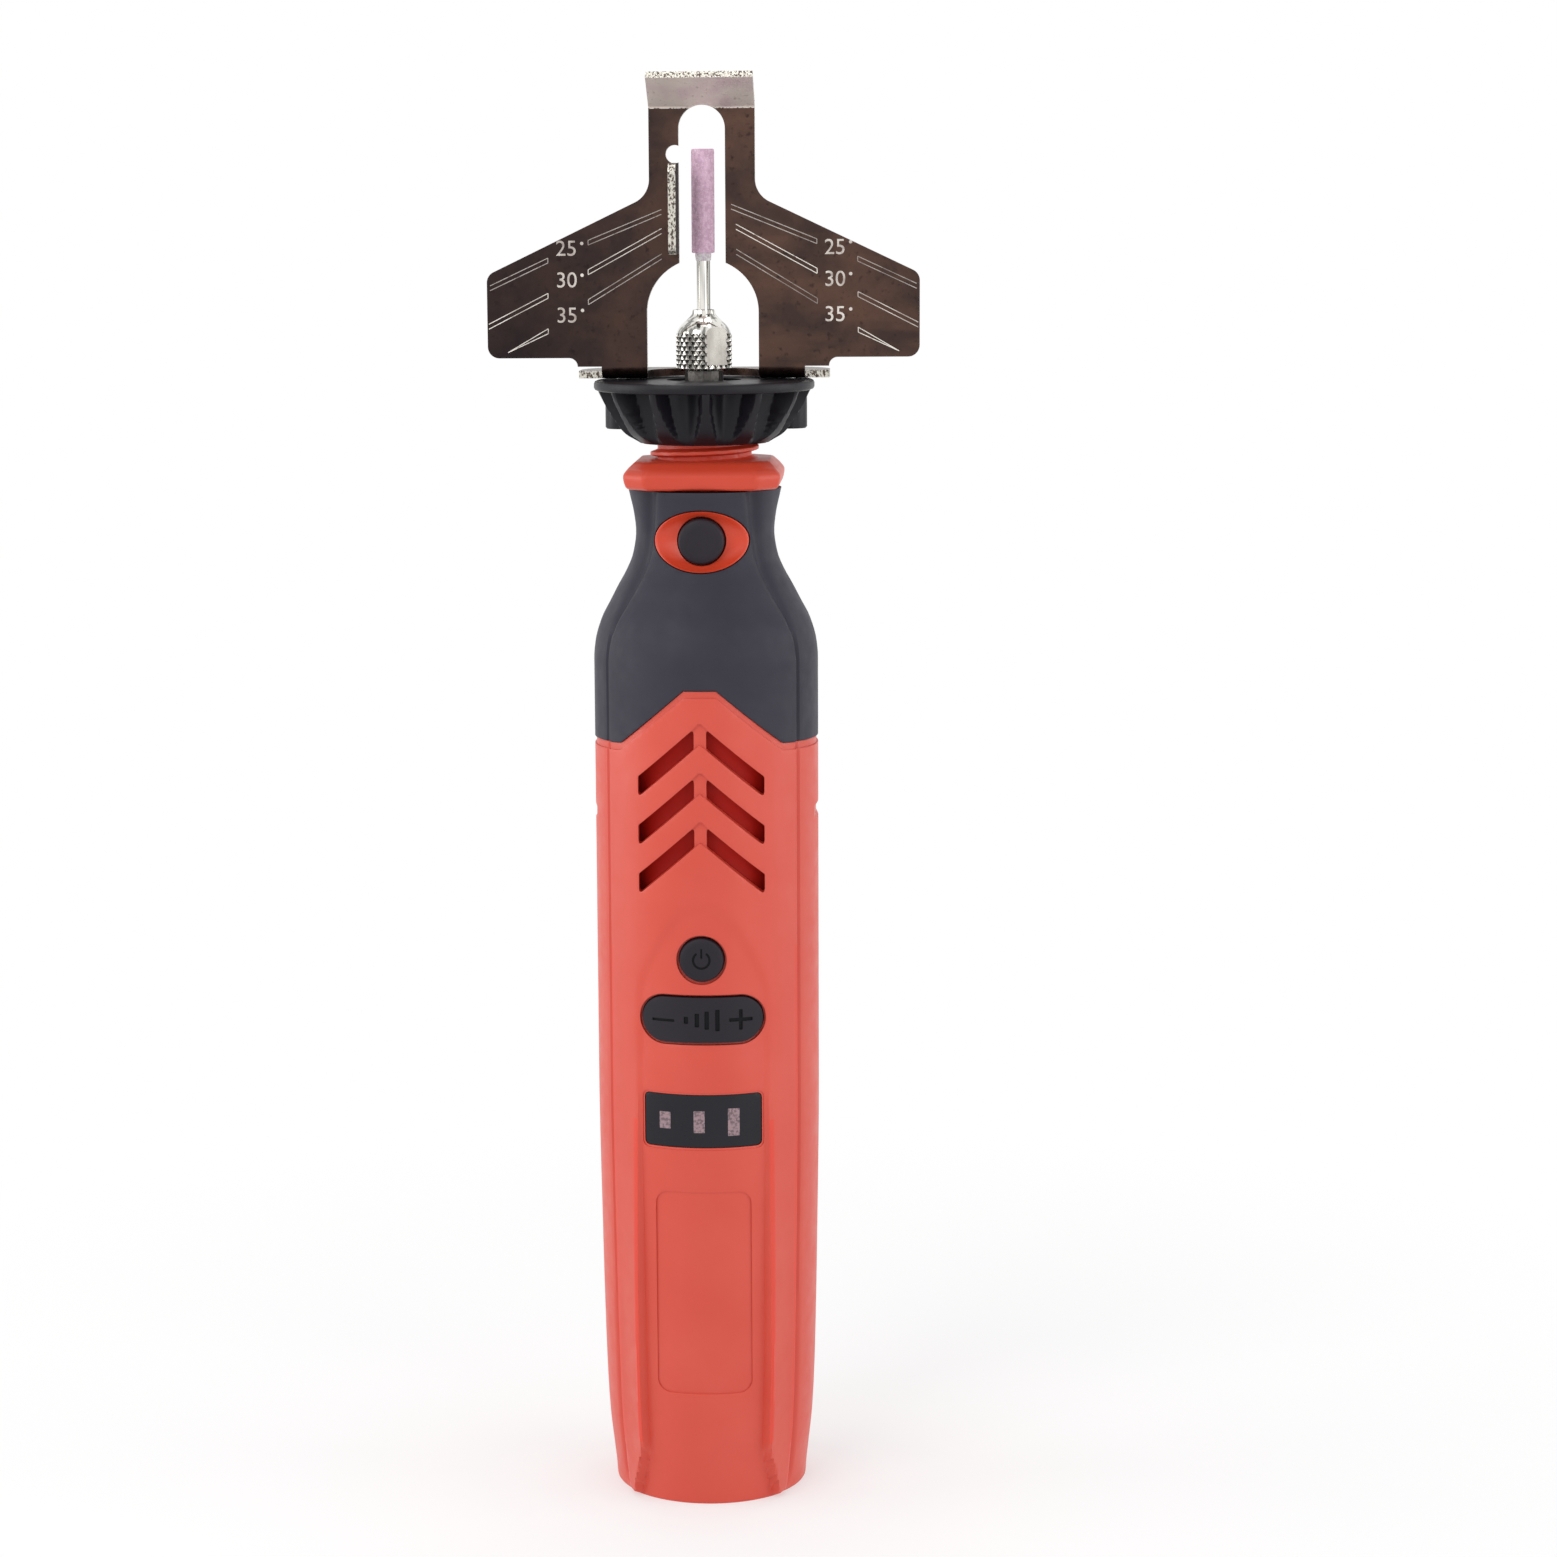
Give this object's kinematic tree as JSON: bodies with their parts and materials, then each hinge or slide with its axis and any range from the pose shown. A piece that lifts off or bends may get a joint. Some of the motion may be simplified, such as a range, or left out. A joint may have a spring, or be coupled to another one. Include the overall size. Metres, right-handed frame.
{
  "type": "cordless chainsaw sharpener",
  "caption": "Hand-held cordless grinder with a collet-held sharpening stone and a bent sheet angle guide screwed on its nose.",
  "frame": {"origin": "centre of the flat bottom end, which the tool stands on", "axes": "+Z along the tool from the foot to the guide's lip, -Y the front with the buttons, +X to the right seen from the front"},
  "size_m": [0.0746, 0.0398, 0.25],
  "materials": {
    "red_plastic": "satin moulded red",
    "orange_plastic": "satin orange-red",
    "rubber": "matte dark grey over-mould",
    "black_plastic": "satin black",
    "button_plastic": "matte dark grey",
    "lens": "dark smoked lens",
    "dark_sheet": "dark mirror-like plated sheet",
    "nickel": "bright nickel",
    "steel": "plain steel",
    "stone": "pink abrasive",
    "board": "green laminate",
    "rotor": "wound laminations",
    "light": "pale light window",
    "cell": "sleeved battery cell",
    "red_wire": "insulated wire",
    "black_wire": "insulated wire"
  },
  "bodies": {
    "housing": {"housing_front": "red_plastic", "housing_back": "red_plastic", "grip_front": "rubber", "threaded_nose": "red_plastic", "grip_back": "rubber", "lock_bezel": "orange_plastic", "motor_can": "steel", "lock_spring": "steel", "motor_end_bell": "black_plastic", "battery_holder": "black_plastic", "motor_magnet_left": "black_plastic", "motor_magnet_right": "black_plastic", "battery_cell": "cell", "rear_bearing_outer": "steel", "front_bearing_outer": "steel", "charge_window": "lens", "case_screw_bottom_left": "steel", "case_screw_bottom_right": "steel", "case_screw_middle_left": "steel", "case_screw_middle_right": "steel", "case_screw_top_left": "steel", "case_screw_top_right": "steel", "battery_lead_left": "red_wire", "motor_lead_left": "red_wire", "battery_lead_right": "black_wire", "motor_lead_right": "black_wire", "motor_screw_front": "steel", "motor_screw_back": "steel", "switch_power": "black_plastic", "switch_minus": "black_plastic", "switch_plus": "black_plastic", "rocker_pin": "steel", "charge_socket": "steel", "circuit_board": "board", "charge_light_left": "light", "charge_light_middle": "light", "charge_light_right": "light"},
    "spindle": {"spindle": "nickel", "rear_bearing_inner": "steel", "front_bearing_inner": "steel", "coupling": "steel", "motor_shaft": "steel", "motor_rotor": "rotor", "cooling_fan": "black_plastic", "collet": "steel"},
    "nut": {"collet_nut": "nickel"},
    "bit": {"stone_shank": "nickel", "grinding_stone": "stone"},
    "lock": {"lock_button": "button_plastic", "lock_pin": "steel", "lock_clip": "steel"},
    "power": {"power_button": "button_plastic"},
    "rocker": {"speed_rocker": "button_plastic"},
    "guide": {"guide_cup": "black_plastic", "guide_plate": "dark_sheet", "guide_screw_left": "steel", "guide_screw_right": "steel"}
  },
  "joints": [
    {"name": "spindle_spin", "type": "hinge", "parent": "housing", "child": "spindle", "pos_m": [0, 0, 0.18], "axis": [0, 0, 1], "continuous": true},
    {"name": "nut_turn", "type": "hinge", "parent": "spindle", "child": "nut", "pos_m": [0, 0, 0.2045], "axis": [0, 0, 1], "range_deg": [0, 360]},
    {"name": "bit_slide", "type": "slide", "parent": "spindle", "child": "bit", "axis": [0, 0, 1], "range_m": [-0.008, 0.005]},
    {"name": "lock_press", "type": "slide", "parent": "housing", "child": "lock", "axis": [0, 1, 0], "range_m": [0, 0.0016], "stiffness_N_per_m": 600, "springref_m": -0.0015, "deforming": ["lock_spring"]},
    {"name": "power_press", "type": "slide", "parent": "housing", "child": "power", "axis": [0, 1, 0], "range_m": [0, 0.0005], "stiffness_N_per_m": 2000, "springref_m": -0.0003},
    {"name": "speed_rock", "type": "hinge", "parent": "housing", "child": "rocker", "pos_m": [0, -0.01568, 0.0883], "axis": [0, 0, 1], "range_deg": [-4, 4], "stiffness_Nm_per_rad": 0.02},
    {"name": "guide_turn", "type": "hinge", "parent": "housing", "child": "guide", "pos_m": [0, 0, 0.19], "axis": [0, 0, 1], "range_deg": [-180, 180]}
  ]
}
